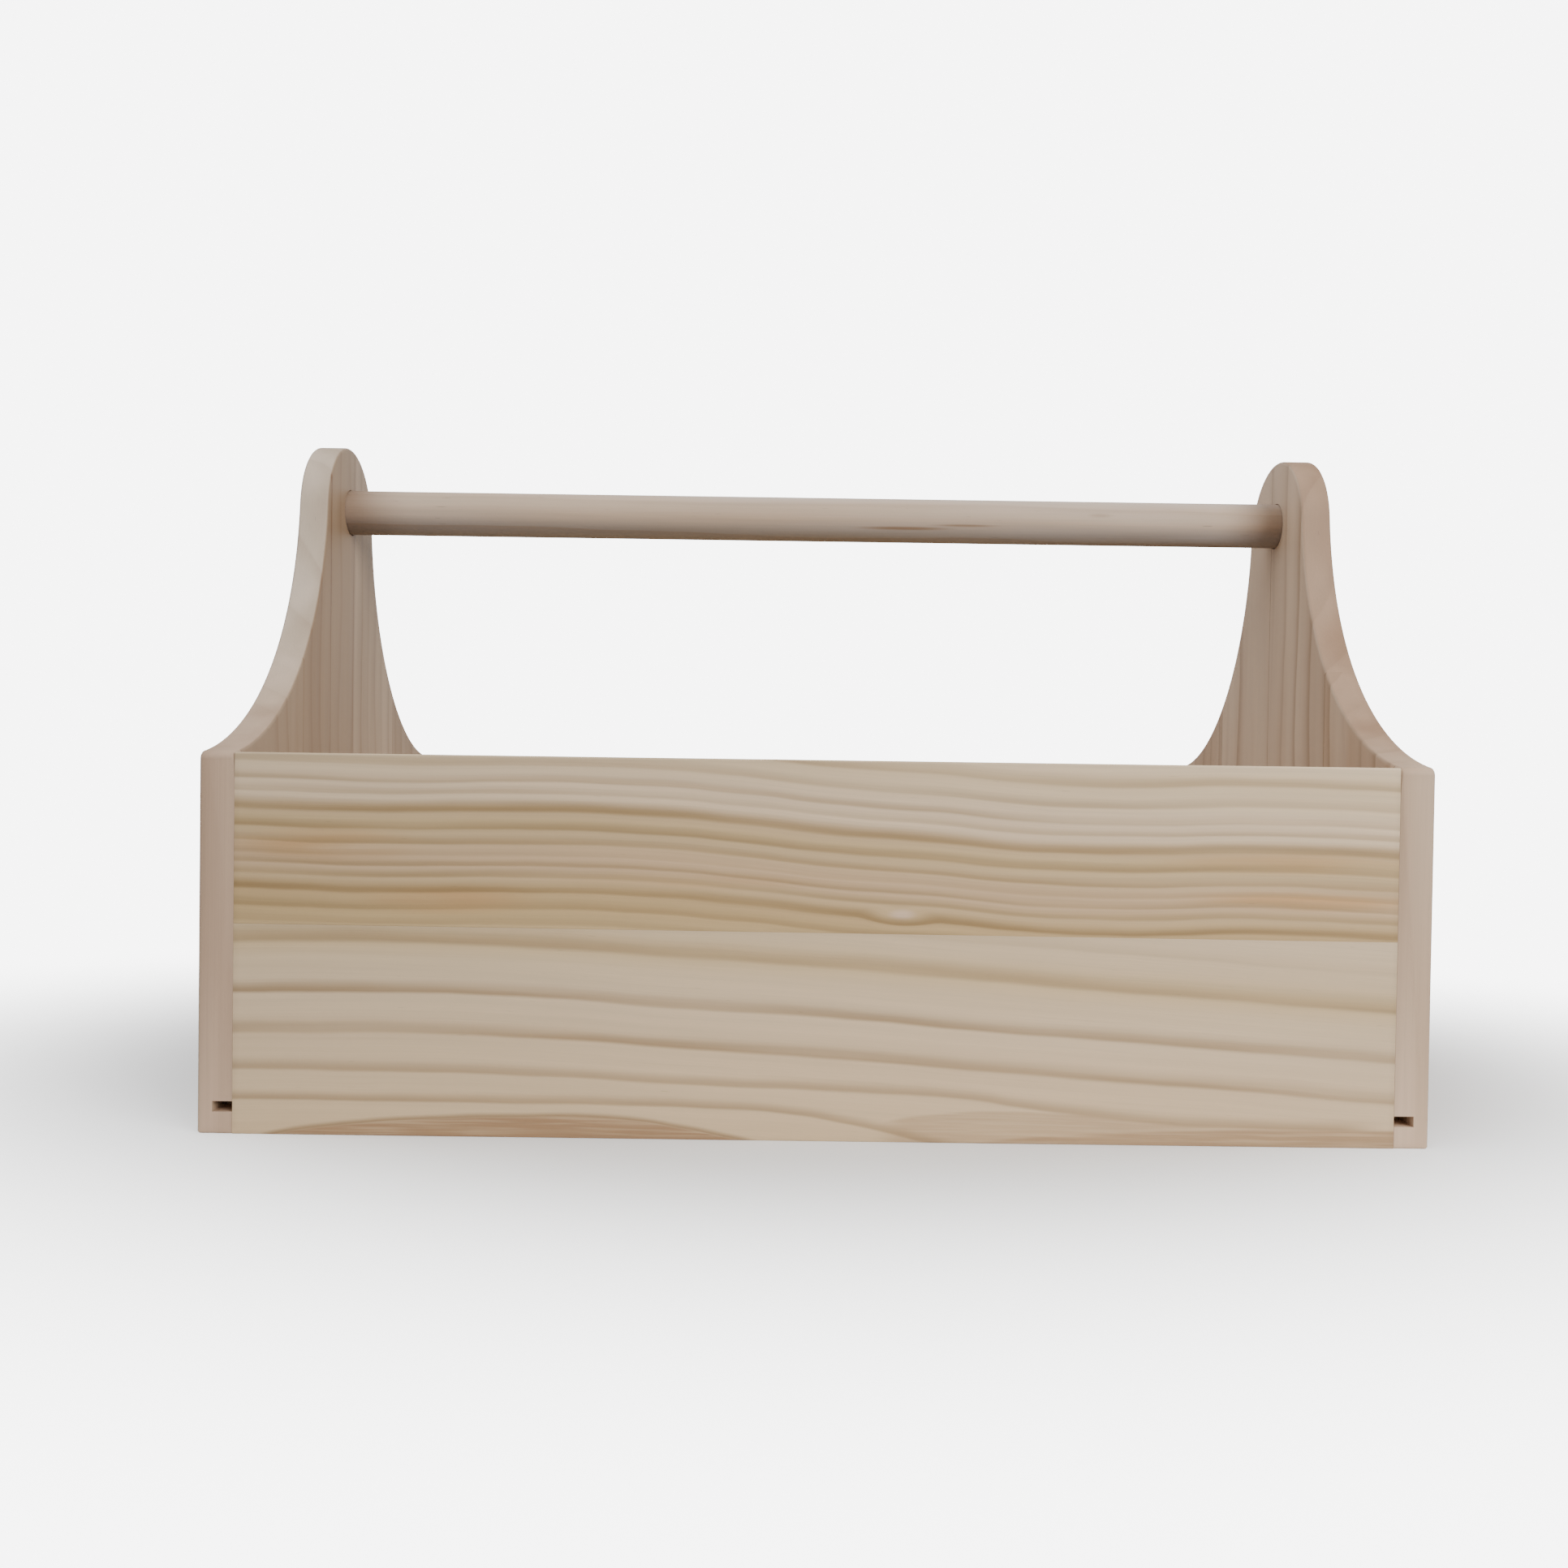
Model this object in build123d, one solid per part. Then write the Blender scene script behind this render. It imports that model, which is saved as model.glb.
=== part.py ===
import os
from math import sqrt

from build123d import *

# Wooden tool tote with a drawer at the rear, in millimetres. X runs along the tote, the front
# board faces -Y, the drawer slides out towards +Y, and the end panels stand on Z = 0. The
# origin is the middle of the whole footprint, the drawer's knob included.

# Whole tote
tote_length = 420.0
tote_depth = 260.0
tote_height = 260.0
box_height = 130.0

# End panels: a round crown over two hollow flanks that start at the top of the box
end_thickness = 12.0
crown_radius = 31.5
flank_radius = 114.5
shoulder_ease = 2.5
edge_ease = 1.2

# Front board, glued up from two staves along a slightly tapered joint
board_thickness = 12.0
upper_stave_left = 58.2
upper_stave_right = 59.4
board_ease = 0.8

# Handle
dowel_diameter = 18.5
dowel_drop = 27.0
dowel_ease = 0.6
socket_depth = 7.0
socket_play = 0.3

# Floor panel in the grooves of the end panels, on a sill at its front and rear edges
panel_thickness = 3.3
groove_rise = 7.5
groove_depth = 6.8
groove_play = 0.3
sill_depth = 8.0

# Tray over the drawer
cleat_size = 8.0
tray_play = 0.4

# Drawer
drawer_height = 48.0
drawer_side_play = 0.5
drawer_floor_play = 0.3
drawer_top_play = 0.8
drawer_end_play = 2.0
side_thickness = 8.0
side_drop = 2.0
rabbet_depth = 6.0
dado_depth = 3.0
back_inset = 6.0
side_groove_rise = 4.5
side_groove_depth = 4.0
joint_play = 0.05

# Turned knob: radii of its foot, neck and head, and the heights of each over the drawer front
foot_radius = 7.0
foot_height = 2.0
neck_radius = 5.0
neck_height = 6.0
head_radius = 11.0
rim_height = 12.5
rim_radius = 3.0
knob_length = 19.0

# Fasteners: thickness, length and width of the head
nail_size = (1.8, 32.0, 3.2)
brad_size = (1.2, 15.0, 2.0)
short_brad_size = (1.2, 9.0, 2.0)
screw_size = (4.0, 32.0, 7.6)
nail_head_height = 1.0
brad_head_height = 0.8
nail_margin = 16.0
floor_brad_margin = 32.0
nail_play = 0.05
countersink = 2.6
slot_width = 0.9
slot_depth = 1.1
screw_play = 0.1
knob_screw_bite = 11.0

# Places that follow from the sizes above
front_y = -(tote_depth + knob_length) / 2
rear_y = front_y + tote_depth
mid_y = (front_y + rear_y) / 2
inner_x = tote_length / 2 - end_thickness
front_inner_y = front_y + board_thickness
rail_inner_y = rear_y - board_thickness
joint_left = box_height - upper_stave_left
joint_right = box_height - upper_stave_right
floor_top = groove_rise + panel_thickness
drawer_x = inner_x - drawer_side_play
drawer_z = floor_top + drawer_floor_play
drawer_top = drawer_z + drawer_height
drawer_end_y = front_inner_y + drawer_end_play
drawer_inner_x = drawer_x - side_thickness
side_top = drawer_top - side_drop
side_front_y = rail_inner_y + rabbet_depth
back_y = drawer_end_y + back_inset
drawer_panel_z = drawer_z + side_groove_rise
drawer_panel_top = drawer_panel_z + panel_thickness
rail_bottom = drawer_top + drawer_top_play
tray_z = rail_bottom + cleat_size
dowel_z = tote_height - dowel_drop
knob_z = drawer_z + drawer_height / 2
knob_screw_size = (screw_size[0], board_thickness + knob_screw_bite, screw_size[2])
from_base = (Align.CENTER, Align.CENTER, Align.MIN)


def block(x_ends, y_ends, z_ends):
    """A box between the given ends along each axis, in either order."""
    ends = (x_ends, y_ends, z_ends)
    middle = [(first + last) / 2 for first, last in ends]
    return Pos(*middle) * Box(*[abs(last - first) for first, last in ends])


def spread(first, last, count):
    return [first + (last - first) * i / (count - 1) for i in range(count)]


def face_plane(x, y, z, direction):
    return Plane(origin=(x, y, z), z_dir=direction)


# Fasteners. Each stands on its head's face, with its Z axis into the wood, and its place is a
# plane on the struck face. With some play, the same form is the hole that it fills.


def pin(size, head_height, play=0):
    """A round wire nail or a screw's blank, with a tapered head and a sharp point."""
    diameter, length, head_diameter = size
    radius = diameter / 2 + play
    head = Cone(head_diameter / 2 + play, radius, head_height, align=from_base)
    shank = Cylinder(radius, length - diameter, align=from_base)
    point = Cone(radius, 0, diameter + play, align=from_base)
    return head + shank + Pos(0, 0, length - diameter) * point


def brad(size, play=0):
    """A brad of flat wire: its head is wider than its shank one way only, and it has a chisel point."""
    width, length, head_width = size
    right_side = [
        (head_width / 2 + play, 0),
        (head_width / 2 + play, brad_head_height + play),
        (width / 2 + play, brad_head_height + play),
        (width / 2 + play, length - width),
        (width / 8 + play, length + play),
    ]
    left_side = [(-x, z) for x, z in reversed(right_side)]
    face = Plane.XZ * make_face(Polyline(*right_side, *left_side, close=True))
    return extrude(face, amount=width / 2 + play, both=True)


def slotted(screw):
    return screw - Box(screw_size[2], slot_width, slot_depth * 2)


def driven(fastener, places):
    return Compound(children=[place * fastener for place in places])


def drilled(board, hole, places):
    for place in places:
        board -= place * hole
    return board


nail_hole = pin(nail_size, nail_head_height, nail_play)
brad_hole = brad(brad_size, nail_play)
short_brad_hole = brad(short_brad_size, nail_play)
screw_hole = pin(screw_size, countersink, screw_play)
knob_screw_hole = pin(knob_screw_size, countersink, screw_play)


def end_nail_places(side, y, heights):
    """Nails through an end panel into the end grain of the board that butts against it."""
    return [face_plane(side * tote_length / 2, y, z, (-side, 0, 0)) for z in heights]


def front_nail_places():
    heights = (
        nail_margin,
        joint_right - nail_margin,
        joint_left + nail_margin,
        box_height - nail_margin,
    )
    y = front_y + board_thickness / 2
    return [place for side in (-1, 1) for place in end_nail_places(side, y, heights)]


def rear_nail_places():
    heights = (groove_rise / 2, rail_bottom + nail_margin, box_height - nail_margin)
    y = rear_y - board_thickness / 2
    return [place for side in (-1, 1) for place in end_nail_places(side, y, heights)]


def floor_brad_places():
    """Down through the floor panel into the sills under its long edges."""
    rows = (front_inner_y + sill_depth / 2, rear_y - board_thickness / 2)
    columns = spread(-inner_x + floor_brad_margin, inner_x - floor_brad_margin, 5)
    return [face_plane(x, y, floor_top, (0, 0, -1)) for y in rows for x in columns]


def side_cleat_brad_places(side):
    x = side * (inner_x - cleat_size)
    z = tray_z - cleat_size / 2
    rows = spread(front_inner_y + cleat_size + nail_margin, rail_inner_y - nail_margin, 3)
    return [face_plane(x, y, z, (side, 0, 0)) for y in rows]


def long_cleat_brad_places(y, direction):
    z = tray_z - cleat_size / 2
    columns = spread(-inner_x + cleat_size + nail_margin, inner_x - cleat_size - nail_margin, 4)
    return [face_plane(x, y, z, (0, direction, 0)) for x in columns]


def front_cleat_brad_places():
    return long_cleat_brad_places(front_inner_y + cleat_size, -1)


def rear_cleat_brad_places():
    return long_cleat_brad_places(rail_inner_y - cleat_size, 1)


def drawer_brad_places():
    """Through the drawer sides into the ends of the drawer front and of the drawer back."""
    rows = (rail_inner_y + rabbet_depth / 2, back_y + side_thickness / 2)
    heights = (drawer_panel_top + nail_margin / 2, side_top - nail_margin / 2)
    return [
        face_plane(side * drawer_x, y, z, (-side, 0, 0))
        for side in (-1, 1)
        for y in rows
        for z in heights
    ]


def handle_screw_place(side):
    return face_plane(side * tote_length / 2, mid_y, dowel_z, (-side, 0, 0))


def knob_screw_place():
    return face_plane(0, rail_inner_y, knob_z, (0, 1, 0))


# End panels


def end_outline():
    """Crown, two hollow flanks and straight sides, drawn in the YZ plane."""
    crown_middle = Vector(mid_y, tote_height - crown_radius)
    shoulder = Vector(front_y, box_height)
    # The flank's circle passes through the shoulder and touches the crown's circle.
    reach = crown_middle - shoulder
    ahead = reach.normalized()
    touching = (crown_radius + flank_radius) ** 2
    along = (reach.length**2 + flank_radius**2 - touching) / (2 * reach.length)
    across = sqrt(flank_radius**2 - along**2)
    flank_middle = shoulder + ahead * along + Vector(-ahead.Y, ahead.X) * across
    touch = flank_middle + (crown_middle - flank_middle).normalized() * flank_radius
    halfway = (shoulder + touch) / 2 - flank_middle
    hollow = flank_middle + halfway.normalized() * flank_radius

    def mirrored(point):
        return Vector(2 * mid_y - point.X, point.Y)

    with BuildSketch() as outline:
        with BuildLine():
            Polyline(shoulder, (front_y, 0), (rear_y, 0), mirrored(shoulder))
            ThreePointArc(mirrored(shoulder), mirrored(hollow), mirrored(touch))
            ThreePointArc(mirrored(touch), (mid_y, tote_height), touch)
            ThreePointArc(touch, hollow, shoulder)
        make_face()
        shoulders = outline.vertices().group_by(Axis.Y)[1]
        fillet(shoulders, shoulder_ease)
    return outline.sketch


def end_panel(side):
    plane = Plane.YZ.offset(side * tote_length / 2)
    panel = extrude(plane * end_outline(), amount=-side * end_thickness)
    inner_face, *_, outer_face = panel.faces().sort_by(Axis((0, 0, 0), (side, 0, 0)))
    open_edges = [edge for edge in inner_face.edges() if edge.center().Z > box_height]
    panel = fillet(outer_face.edges() + open_edges, edge_ease)

    groove_x = (side * inner_x, side * (inner_x + groove_depth))
    panel -= block(groove_x, (front_y, rear_y), (groove_rise, floor_top + groove_play))
    socket = Cylinder(dowel_diameter / 2 + socket_play, socket_depth, align=from_base)
    panel -= face_plane(side * inner_x, mid_y, dowel_z, (side, 0, 0)) * socket
    panel -= handle_screw_place(side) * screw_hole
    end_nails = [p for p in front_nail_places() + rear_nail_places() if p.origin.X * side > 0]
    panel = drilled(panel, nail_hole, end_nails)
    return drilled(panel, brad_hole, side_cleat_brad_places(side))


def handle_dowel():
    length = 2 * (inner_x + socket_depth - socket_play)
    dowel = face_plane(0, mid_y, dowel_z, (1, 0, 0)) * Cylinder(dowel_diameter / 2, length)
    dowel = chamfer(dowel.edges().filter_by(GeomType.CIRCLE), dowel_ease)
    return drilled(dowel, screw_hole, [handle_screw_place(side) for side in (-1, 1)])


# Boards, sills, floor and tray


def front_stave(lower_left, lower_right, upper_left, upper_right):
    corners = (
        (-inner_x, lower_left),
        (inner_x, lower_right),
        (inner_x, upper_right),
        (-inner_x, upper_left),
    )
    face = Plane.XZ.offset(-front_inner_y) * make_face(Polyline(*corners, close=True))
    stave = extrude(face, amount=board_thickness)
    stave = drilled(stave, nail_hole, front_nail_places())
    return drilled(stave, brad_hole, front_cleat_brad_places())


def eased_top(board):
    """The two long arrises of a board's top edge, taken off by hand."""
    top_face = board.faces().sort_by(Axis.Z)[-1]
    return fillet(top_face.edges().filter_by(Axis.X), board_ease)


def front_upper_board():
    return eased_top(front_stave(joint_left, joint_right, box_height, box_height))


def front_lower_board():
    return front_stave(0, 0, joint_left, joint_right)


def rear_rail():
    rail = block((-inner_x, inner_x), (rail_inner_y, rear_y), (rail_bottom, box_height))
    rail = drilled(eased_top(rail), nail_hole, rear_nail_places())
    return drilled(rail, brad_hole, rear_cleat_brad_places())


def rear_sill():
    sill = block((-inner_x, inner_x), (rail_inner_y, rear_y), (0, groove_rise))
    sill = drilled(sill, nail_hole, rear_nail_places())
    return drilled(sill, short_brad_hole, floor_brad_places())


def front_sill():
    sill_y = (front_inner_y, front_inner_y + sill_depth)
    sill = block((-inner_x, inner_x), sill_y, (0, groove_rise))
    return drilled(sill, short_brad_hole, floor_brad_places())


def floor_panel():
    half_length = inner_x + groove_depth - groove_play
    panel_x = (-half_length, half_length)
    panel = block(panel_x, (front_inner_y, rear_y), (groove_rise, floor_top))
    return drilled(panel, short_brad_hole, floor_brad_places())


def tray_panel():
    half_length = inner_x - tray_play
    panel_y = (front_inner_y + tray_play, rail_inner_y - tray_play)
    return block((-half_length, half_length), panel_y, (tray_z, tray_z + panel_thickness))


def side_cleat(side):
    cleat_x = (side * inner_x, side * (inner_x - cleat_size))
    cleat_y = (front_inner_y + cleat_size, rail_inner_y - cleat_size)
    cleat = block(cleat_x, cleat_y, (rail_bottom, tray_z))
    return drilled(cleat, brad_hole, side_cleat_brad_places(side))


def front_cleat():
    cleat_y = (front_inner_y, front_inner_y + cleat_size)
    cleat = block((-inner_x, inner_x), cleat_y, (rail_bottom, tray_z))
    return drilled(cleat, brad_hole, front_cleat_brad_places())


def rear_cleat():
    cleat_y = (rail_inner_y - cleat_size, rail_inner_y)
    cleat = block((-inner_x, inner_x), cleat_y, (rail_bottom, tray_z))
    return drilled(cleat, brad_hole, rear_cleat_brad_places())


# Drawer


def drawer_groove(x_ends, y_ends):
    return block(x_ends, y_ends, (drawer_panel_z, drawer_panel_top + groove_play))


def drawer_front():
    """Flush between the end panels, rabbeted at both ends and grooved for its panel."""
    drawer_ends = (-drawer_x, drawer_x)
    front = block(drawer_ends, (rail_inner_y, rear_y), (drawer_z, drawer_top))
    for side in (-1, 1):
        rabbet_x = (side * drawer_inner_x, side * drawer_x)
        front -= block(rabbet_x, (rail_inner_y, side_front_y), (drawer_z, drawer_top))
    groove_y = (rail_inner_y, rail_inner_y + side_groove_depth)
    front -= drawer_groove((-drawer_inner_x, drawer_inner_x), groove_y)
    front = drilled(front, brad_hole, drawer_brad_places())
    return front - knob_screw_place() * knob_screw_hole


def drawer_side(side):
    side_y = (drawer_end_y, side_front_y - joint_play)
    board = block((side * drawer_inner_x, side * drawer_x), side_y, (drawer_z, side_top))
    board -= drawer_groove((side * drawer_inner_x, side * (drawer_inner_x + side_groove_depth)), side_y)
    dado_x = (side * drawer_inner_x, side * (drawer_inner_x + dado_depth))
    board -= block(dado_x, (back_y, back_y + side_thickness), (drawer_panel_z, side_top))
    return drilled(board, brad_hole, drawer_brad_places())


def drawer_back():
    half_length = drawer_inner_x + dado_depth - joint_play
    back_ends = (back_y + joint_play, back_y + side_thickness - joint_play)
    back_z = (drawer_panel_top + groove_play, side_top)
    back = block((-half_length, half_length), back_ends, back_z)
    return drilled(back, brad_hole, drawer_brad_places())


def drawer_panel():
    half_length = drawer_inner_x + side_groove_depth - groove_play
    panel_y = (drawer_end_y, rail_inner_y + side_groove_depth - groove_play)
    return block((-half_length, half_length), panel_y, (drawer_panel_z, drawer_panel_top))


def drawer_knob():
    """Turned knob: a low foot, a cove up to the rim, and a domed face."""
    rim_under = (head_radius - rim_radius, rim_height - rim_radius)
    rim_over = (head_radius - rim_radius, rim_height + rim_radius)
    dome_height = knob_length - rim_over[1]
    dome_radius = (rim_over[0] ** 2 + dome_height**2) / (2 * dome_height)
    with BuildSketch(Plane.XZ) as profile:
        with BuildLine():
            Polyline((0, knob_length), (0, 0), (foot_radius, 0), (foot_radius, foot_height))
            ThreePointArc((foot_radius, foot_height), (neck_radius, neck_height), rim_under)
            ThreePointArc(rim_under, (head_radius, rim_height), rim_over)
            RadiusArc(rim_over, (0, knob_length), -dome_radius)
        make_face()
    knob = face_plane(0, rear_y, knob_z, (0, 1, 0)) * revolve(profile.sketch, Axis.Z)
    return knob - knob_screw_place() * knob_screw_hole


parts = {
    "left_end_panel": end_panel(-1),
    "right_end_panel": end_panel(1),
    "handle_dowel": handle_dowel(),
    "handle_screws": driven(
        slotted(pin(screw_size, countersink)), [handle_screw_place(side) for side in (-1, 1)]
    ),
    "front_upper_board": front_upper_board(),
    "front_lower_board": front_lower_board(),
    "front_nails": driven(pin(nail_size, nail_head_height), front_nail_places()),
    "front_sill": front_sill(),
    "rear_rail": rear_rail(),
    "rear_sill": rear_sill(),
    "rear_nails": driven(pin(nail_size, nail_head_height), rear_nail_places()),
    "floor_panel": floor_panel(),
    "floor_brads": driven(brad(short_brad_size), floor_brad_places()),
    "tray_panel": tray_panel(),
    "left_cleat": side_cleat(-1),
    "right_cleat": side_cleat(1),
    "front_cleat": front_cleat(),
    "rear_cleat": rear_cleat(),
    "cleat_brads": driven(
        brad(brad_size),
        side_cleat_brad_places(-1)
        + side_cleat_brad_places(1)
        + front_cleat_brad_places()
        + rear_cleat_brad_places(),
    ),
    "drawer_front": drawer_front(),
    "drawer_left_side": drawer_side(-1),
    "drawer_right_side": drawer_side(1),
    "drawer_back": drawer_back(),
    "drawer_panel": drawer_panel(),
    "drawer_brads": driven(brad(brad_size), drawer_brad_places()),
    "drawer_knob": drawer_knob(),
    "knob_screw": knob_screw_place() * slotted(pin(knob_screw_size, countersink)),
}

os.makedirs("parts", exist_ok=True)
for name, solid in parts.items():
    export_step(solid, f"parts/{name}.step")
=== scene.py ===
from math import cos, pi, radians, sin, sqrt

import bmesh
import bpy
from mathutils import Matrix, Vector


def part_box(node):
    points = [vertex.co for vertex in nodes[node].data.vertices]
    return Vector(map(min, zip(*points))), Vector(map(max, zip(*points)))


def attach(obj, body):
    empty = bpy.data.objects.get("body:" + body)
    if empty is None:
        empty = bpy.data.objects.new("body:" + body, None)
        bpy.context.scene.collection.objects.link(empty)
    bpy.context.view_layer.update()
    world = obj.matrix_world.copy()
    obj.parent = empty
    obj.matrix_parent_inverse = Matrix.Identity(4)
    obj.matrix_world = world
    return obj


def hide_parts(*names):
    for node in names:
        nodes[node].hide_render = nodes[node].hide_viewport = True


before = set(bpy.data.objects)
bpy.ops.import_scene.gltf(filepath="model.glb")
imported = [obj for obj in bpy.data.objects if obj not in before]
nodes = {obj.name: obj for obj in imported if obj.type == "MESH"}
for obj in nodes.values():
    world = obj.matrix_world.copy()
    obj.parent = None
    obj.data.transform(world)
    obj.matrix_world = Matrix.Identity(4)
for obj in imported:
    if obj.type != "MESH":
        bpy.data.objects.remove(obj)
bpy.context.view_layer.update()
pieces = []
mm = 0.001
samePlace = 0.01 * mm  # points nearer than this count as one
shortEdge = 1 * mm  # an edge that reaches less than this along X belongs to an ease
sharpAngle = 50.0
smoothAngle = 40.0


class Signal:
    # A socket in a sum: each operator adds its Math node to the same material.
    def __init__(self, finish, socket):
        self.finish = finish
        self.socket = socket

    def maths(self, operation, *values):
        return self.finish.node("ShaderNodeMath", {"operation": operation}, dict(enumerate(values)))

    def __add__(self, other):
        return self.maths("ADD", self, other)

    def __sub__(self, other):
        return self.maths("SUBTRACT", self, other)

    def __rsub__(self, other):
        return self.maths("SUBTRACT", other, self)

    def __mul__(self, other):
        return self.maths("MULTIPLY", self, other)

    def __truediv__(self, other):
        return self.maths("DIVIDE", self, other)

    def __pow__(self, other):
        return self.maths("POWER", self, other)

    def __abs__(self):
        return self.maths("ABSOLUTE", self)

    __radd__ = __add__
    __rmul__ = __mul__

    def least(self, other):
        return self.maths("MINIMUM", self, other)

    def most(self, other):
        return self.maths("MAXIMUM", self, other)

    def floor(self):
        return self.maths("FLOOR", self)


class Finish:
    # One material, built node by node.
    def __init__(self, name):
        self.material = bpy.data.materials.new(name)
        self.material.use_nodes = True
        self.tree = self.material.node_tree
        self.tree.nodes.clear()

    def node(self, kind, settings=None, sockets=None, output=0):
        made = self.tree.nodes.new(kind)
        for name, value in (settings or {}).items():
            if name == "stops":
                self.setStops(made.color_ramp.elements, value)
            elif name == "points":
                self.setPoints(made.mapping, value)
            else:
                setattr(made, name, value)
        for name, value in (sockets or {}).items():
            if isinstance(value, Signal):
                self.tree.links.new(value.socket, made.inputs[name])
            else:
                made.inputs[name].default_value = value
        return Signal(self, made.outputs[output]) if made.outputs else None

    def setStops(self, elements, stops):
        while len(elements) < len(stops):
            elements.new(0.5)
        for element, (place, colour) in zip(elements, sorted(stops)):
            element.position = place
            element.color = colour

    def setPoints(self, mapping, points):
        curve = mapping.curves[0]
        while len(curve.points) < len(points):
            curve.points.new(0.5, 0.5)
        for point, (x, y) in zip(curve.points, points):
            point.location = (x, y)
        mapping.update()

    def between(self, value, start, end, low=0.0, high=1.0):  # a smooth step from start to end
        sockets = {0: value, 1: start, 2: end, 3: low, 4: high}
        return self.node("ShaderNodeMapRange", {"interpolation_type": "SMOOTHSTEP"}, sockets)

    def share(self, value, start, end):  # a straight 0 to 1 from start to end
        return self.node("ShaderNodeMapRange", {}, {0: value, 1: start, 2: end})

    def mix(self, factor, first, second, how="MIX"):  # 6, 7 and output 2 are the colour sockets
        settings = {"data_type": "RGBA", "blend_type": how, "clamp_factor": True}
        return self.node("ShaderNodeMix", settings, {0: factor, 6: first, 7: second}, 2)

    def ramp(self, value, stops):
        return self.node("ShaderNodeValToRGB", {"stops": stops}, {0: value})

    def vector(self, x, y, z):
        return self.node("ShaderNodeCombineXYZ", {}, {0: x, 1: y, 2: z})

    def part(self, vector, axis):  # one of a vector's three numbers
        return self.node("ShaderNodeSeparateXYZ", {}, {0: vector}, "xyz".index(axis))

    def chance(self, index):  # a number of its own for each index, 0 to 1
        return self.node("ShaderNodeTexWhiteNoise", {"noise_dimensions": "1D"}, {"W": index})

    def noise(self, place, size, detail=2.0, roughness=0.5):  # size is that of its patches
        sockets = {"Vector": place, "Scale": 1 / size, "Detail": detail, "Roughness": roughness}
        return self.node("ShaderNodeTexNoise", {}, sockets)

    def grainNoise(self, place, size, detail=2.0, roughness=0.5):
        # Noise in long patches: size is their length along the grain and their width.
        along, across, through = place
        length, width = size
        stretched = self.vector(along / length, across / width, through / width)
        return self.noise(stretched, 1.0, detail, roughness)

    def cover(self, colour, roughness, height=None, depth=0.0, **others):
        # The shader itself. A height of 1 is a bump of depth millimetres.
        sockets = {"Base Color": colour, "Roughness": roughness, **others}
        if height is not None:
            bump = {"Strength": 1.0, "Distance": depth * mm, "Height": height}
            sockets["Normal"] = self.node("ShaderNodeBump", {}, bump)
        shader = self.node("ShaderNodeBsdfPrincipled", {}, sockets)
        self.node("ShaderNodeOutputMaterial", {}, {"Surface": shader})
        return self.material


def paint(red, green, blue):  # a colour as a screen shows it, 0 to 255, made linear
    return tuple(((v / 255 + 0.055) / 1.055) ** 2.4 for v in (red, green, blue)) + (1.0,)


def grey(value):
    return (value, value, value, 1.0)


def centred(noise, width):  # from -width / 2 to width / 2
    return (noise - 0.5) * width


def startPiece(name):
    piece = bpy.context.object
    piece.name = name
    piece.data.name = name
    bpy.ops.object.transform_apply(location=True, rotation=True, scale=True)
    return piece


def addBlock(name, low, high):
    bpy.ops.object.select_all(action="DESELECT")
    bpy.ops.mesh.primitive_cube_add(size=1.0, location=(low + high) / 2, scale=high - low)
    return startPiece(name)


def addRod(name, start, end, radius, sides):
    bpy.ops.object.select_all(action="DESELECT")
    turn = (end - start).to_track_quat("Z", "Y").to_euler()
    bpy.ops.mesh.primitive_cylinder_add(
        vertices=sides, radius=radius, depth=(end - start).length, location=(start + end) / 2, rotation=turn
    )
    return startPiece(name)


def runsAcross(edge):
    return abs(edge.verts[1].co.x - edge.verts[0].co.x) > shortEdge


def isLevel(edge, height):  # runs along X at this height
    return runsAcross(edge) and all(abs(v.co.z - height) < samePlace for v in edge.verts)


def isSharp(edge, angle=sharpAngle):
    return len(edge.link_faces) == 2 and edge.calc_face_angle(0.0) > radians(angle)


def pickEdges(piece, wanted):
    # Selects the edges for which wanted(edge) is true, in edit mode.
    bpy.ops.object.mode_set(mode="EDIT")
    bpy.ops.mesh.select_mode(type="EDGE")
    bpy.ops.mesh.select_all(action="DESELECT")
    mesh = bmesh.from_edit_mesh(piece.data)
    for edge in mesh.edges:
        edge.select_set(wanted(edge))
    mesh.select_flush_mode()
    bmesh.update_edit_mesh(piece.data)


def bevelPicked(ease):  # an ease is its width in millimetres and its number of segments
    width, segments = ease
    bpy.ops.mesh.bevel(
        offset=width * mm, offset_type="OFFSET", segments=segments, profile=0.5, affect="EDGES"
    )
    bpy.ops.object.mode_set(mode="OBJECT")


def easeSharp(piece, ease):
    pickEdges(piece, isSharp)
    bevelPicked(ease)


def carve(piece, cutter):
    # Cuts one shape out of a piece and throws the cutter away.
    bpy.ops.object.select_all(action="DESELECT")
    bpy.context.view_layer.objects.active = piece
    piece.select_set(True)
    cut = piece.modifiers.new("cut", "BOOLEAN")
    cut.operation = "DIFFERENCE"
    cut.solver = "EXACT"
    cut.object = cutter
    bpy.ops.object.modifier_apply(modifier=cut.name)
    bpy.data.objects.remove(cutter)


def finishPiece(piece, body, node):
    bpy.ops.object.select_all(action="DESELECT")
    bpy.context.view_layer.objects.active = piece
    piece.select_set(True)
    bpy.ops.object.shade_smooth_by_angle(angle=radians(smoothAngle))
    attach(piece, body)
    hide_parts(node)
    pieces.append((piece, node))


endPanel = {
    "crownRadius": 31.5,
    "flankRadius": 114.5,
    "arcSteps": 32,
    "cornerAngle": 25.0,
    "shoulderEase": (2.5, 6),
    "footEase": (0.8, 3),
    "faceEase": (1.2, 4),
    "jointEase": (0.15, 1),
    "grooveGap": 0.3,
    "socketGap": 0.3,
    "socketSides": 96,
    "headGap": 0.12,
    "headSides": 32,
    "headApart": 9.0,  # points of two heads are never this near
    "headReach": 6.0,  # and no head's radius is this large
    "cutPast": 5.0,
}


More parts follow.
